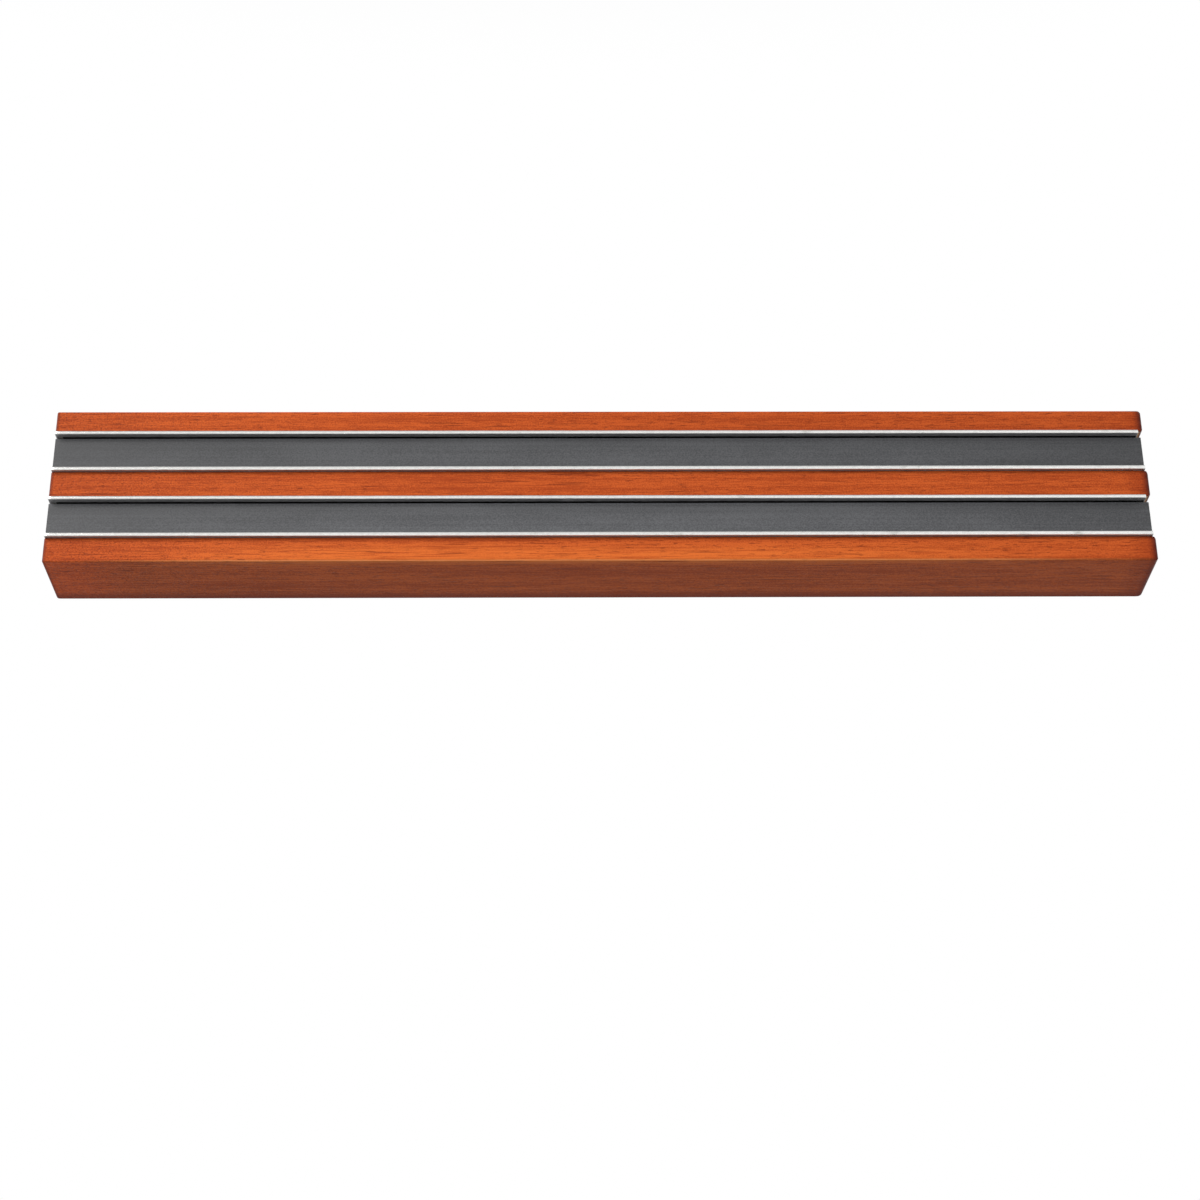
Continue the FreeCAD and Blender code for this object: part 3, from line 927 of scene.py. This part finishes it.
class RACK_OT_strips(bpy.types.Operator):
    """Draw the four steel strips, whose front edges wander a little from end to end"""

    bl_idname = "rack.strips"
    bl_label = "Strips"

    def execute(self, context):
        look = context.scene.rack.strips
        steel = strip_steel(look)
        names = [f"{bar}_{pole}" for bar in BARS for pole in POLES]
        upper_spread, lower_spread = 0.12, 0.25
        for seed, name in enumerate(names):
            low, high = span(name)
            x = stations(low[0], high[0], look.end_edge, look.end_edge, pitch=1.2 * MM, steps=4)
            inset = end_insets(x, look.end_edge, look.end_edge)
            corners = [
                (high[1], low[2]),
                (high[1], high[2]),
                (low[1], high[2]),
                (low[1], low[2]),
            ]
            upper = look.upper_edges[seed % len(POLES)]
            upper = upper * (1 + upper_spread * wander(x, EDGE_WAVELENGTHS, seed))
            lower = look.lower_edge * (1 + lower_spread * wander(x, EDGE_WAVELENGTHS, seed + 10))
            hidden = np.full_like(x, look.back_edge)
            radii = np.stack([hidden, hidden, upper, lower], axis=1)
            outlines = rounded_sections(corners, radii, inset, steps=6, cuts=5)
            dips = look.waviness * (0.5 + 0.5 * wander(x, EDGE_WAVELENGTHS, seed + 20))
            outlines = pushed_back(outlines, low, high, dips, look.crown)
            mesh = carried_section(name, x, outlines)
            strip = new_piece(f"strip_{name}", mesh, steel)
            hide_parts(name)
        return {"FINISHED"}


class RACK_OT_covers(bpy.types.Operator):
    """Extrude the two covers, with rounded front edges and a faint die line"""

    bl_idname = "rack.covers"
    bl_label = "Covers"

    def execute(self, context):
        look = context.scene.rack.covers
        plastic = cover_plastic(look)
        for bar in BARS:
            node = f"{bar}_cover"
            low, high = span(node)
            line = low[2] + look.step_place * (high[2] - low[2])
            corners = [
                (high[1], low[2]),
                (high[1], high[2]),
                (low[1] + look.step, high[2]),
                (low[1] + look.step, line),
                (low[1], line),
                (low[1], low[2]),
            ]
            sharp = LEAST_RADIUS
            radii = [sharp, sharp, look.edge, sharp, sharp, look.edge]
            x = stations(low[0], high[0], look.end_edge, look.end_edge, pitch=6 * MM, steps=3)
            inset = end_insets(x, look.end_edge, look.end_edge)
            outlines = rounded_sections(corners, radii, inset, steps=5)
            mesh = carried_section(node, x, outlines)
            cover = new_piece(f"extruded_{node}", mesh, plastic)
            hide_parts(node)
        return {"FINISHED"}


class RACK_OT_bar_cores(bpy.types.Operator):
    """Finish the magnets and the glue beds, which show only at the ends of the bars"""

    bl_idname = "rack.bar_cores"
    bl_label = "Bar Cores"

    def execute(self, context):
        refinish(MAGNETS, sintered_ferrite())
        refinish([f"{bar}_glue_bed" for bar in BARS], cured_glue())
        return {"FINISHED"}


class RACK_OT_hangers(bpy.types.Operator):
    """Finish the keyhole hangers and their screws"""

    bl_idname = "rack.hangers"
    bl_label = "Hangers"

    def execute(self, context):
        silver = plating(
            "hanger_steel", dark=(0.50, 0.51, 0.53), pale=(0.72, 0.73, 0.75), roughness=0.28
        )
        yellow = plating(
            "screw_steel", dark=(0.50, 0.42, 0.24), pale=(0.72, 0.64, 0.42), roughness=0.25
        )
        pieces = [(name, silver, "hanger_steel") for name in HANGERS]
        pieces += [(name, yellow, "screw_steel") for name in SCREWS]
        for name, material, slot in pieces:
            mesh = whole_faces(name)
            piece = new_piece(f"plated_{name}", mesh, material, soft_edge=0.08 * MM)
            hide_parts(name)
        return {"FINISHED"}


def add_light(name, place, size, power, colour):
    """A rectangular soft light that faces the rack and doesn't show to the camera."""
    lamp = bpy.data.lights.new(name, "AREA")
    lamp.shape = "RECTANGLE"
    lamp.size, lamp.size_y = size
    lamp.energy = power
    lamp.color = colour
    light = bpy.data.objects.new(name, lamp)
    light.location = place
    light.rotation_mode = "QUATERNION"
    light.rotation_quaternion = (-Vector(place)).to_track_quat("-Z", "Y")
    light.visible_camera = False
    bpy.context.scene.collection.objects.link(light)


def add_sky():
    """A white surround that greys towards straight overhead.

    Its brightness fades between two heights on the unit sphere of directions.
    """
    fade_low, fade_high = 0.62, 0.92
    horizon, overhead = 1.0, 0.45
    world = bpy.data.worlds.new("surround")
    bpy.context.scene.world = world
    world.use_nodes = True
    nodes, links = world.node_tree.nodes, world.node_tree.links
    place = nodes.new("ShaderNodeTexCoord").outputs["Generated"]
    split = nodes.new("ShaderNodeSeparateXYZ")
    fade = nodes.new("ShaderNodeMapRange")
    fade.interpolation_type = "SMOOTHSTEP"
    for i, value in enumerate((fade_low, fade_high, horizon, overhead)):
        fade.inputs[i + 1].default_value = value
    background = nodes["Background"]
    links.new(place, split.inputs[0])
    links.new(split.outputs["Z"], fade.inputs[0])
    links.new(fade.outputs[0], background.inputs["Strength"])
    background.inputs["Color"].default_value = (1, 1, 1, 1)


def add_floor(height):
    """A plain pale floor, 24 metres across."""
    half = 12.0
    grey = 0.74
    signs = ((-1, -1), (1, -1), (1, 1), (-1, 1))
    mesh = bpy.data.meshes.new("floor")
    mesh.from_pydata([(half * x, half * y, height) for x, y in signs], [], [(0, 1, 2, 3)])
    paint = Finish("floor").done(base_color=opaque((grey, grey, grey)), roughness=0.9)
    mesh.materials.append(paint)
    floor = bpy.data.objects.new("floor", mesh)
    bpy.context.scene.collection.objects.link(floor)


def add_camera(look):
    """The camera: azimuth 0 looks along +Y, and a negative elevation looks up at the rack."""
    flat = math.cos(look.elevation)
    back = Vector(
        (
            math.sin(look.azimuth) * flat,
            -math.cos(look.azimuth) * flat,
            math.sin(look.elevation),
        )
    )
    data = bpy.data.cameras.new("camera")
    data.sensor_width = SENSOR_WIDTH
    data.lens = look.lens
    data.clip_start, data.clip_end = 0.01, 50.0
    camera = bpy.data.objects.new("camera", data)
    camera.location = Vector(look.target) + back * look.distance
    camera.rotation_mode = "QUATERNION"
    facing = (-back).to_track_quat("-Z", "Y")
    camera.rotation_quaternion = facing @ Quaternion((0, 0, 1), look.roll)
    bpy.context.scene.collection.objects.link(camera)
    bpy.context.scene.camera = camera


class RACK_OT_stage(bpy.types.Operator):
    """Set up the camera, the soft lights, the white surround and the floor"""

    bl_idname = "rack.stage"
    bl_label = "Stage"

    def execute(self, context):
        look = context.scene.rack.stage
        add_camera(look)
        add_light(
            "key",
            place=(-1.05, -0.85, 0.75),
            size=(0.8, 0.7),
            power=look.key_power,
            colour=(1.0, 0.985, 0.965),
        )
        add_light(
            "fill",
            place=(-2.0, -0.9, -0.5),
            size=(1.2, 1.2),
            power=look.fill_power,
            colour=(1.0, 1.0, 1.0),
        )
        add_sky()
        add_floor(-look.floor_drop)
        context.scene.view_settings.view_transform = "Standard"
        return {"FINISHED"}


STEPS = (
    RACK_OT_board,
    RACK_OT_strips,
    RACK_OT_covers,
    RACK_OT_bar_cores,
    RACK_OT_hangers,
    RACK_OT_stage,
)
SETTINGS = (BoardSettings, StripSettings, CoverSettings, StageSettings, RackSettings)


class RACK_PT_panel(bpy.types.Panel):
    """The rack's pieces and settings, in the sidebar"""

    bl_label = "Knife Rack"
    bl_idname = "RACK_PT_panel"
    bl_space_type = "VIEW_3D"
    bl_region_type = "UI"
    bl_category = "Knife Rack"

    def draw(self, context):
        for step in STEPS:
            self.layout.operator(step.bl_idname)
        for group in ("board", "strips", "covers", "stage"):
            box = self.layout.box()
            box.label(text=group.title())
            settings = getattr(context.scene.rack, group)
            for name in settings.__annotations__:
                box.prop(settings, name)


def register():
    for item in (*SETTINGS, *STEPS, RACK_PT_panel):
        bpy.utils.register_class(item)
    bpy.types.Scene.rack = PointerProperty(type=RackSettings)


def unregister():
    del bpy.types.Scene.rack
    for item in reversed((*SETTINGS, *STEPS, RACK_PT_panel)):
        bpy.utils.unregister_class(item)


def main():
    register()
    for step in STEPS:
        group, name = step.bl_idname.split(".")
        getattr(getattr(bpy.ops, group), name)()


if __name__ == "__main__":
    main()
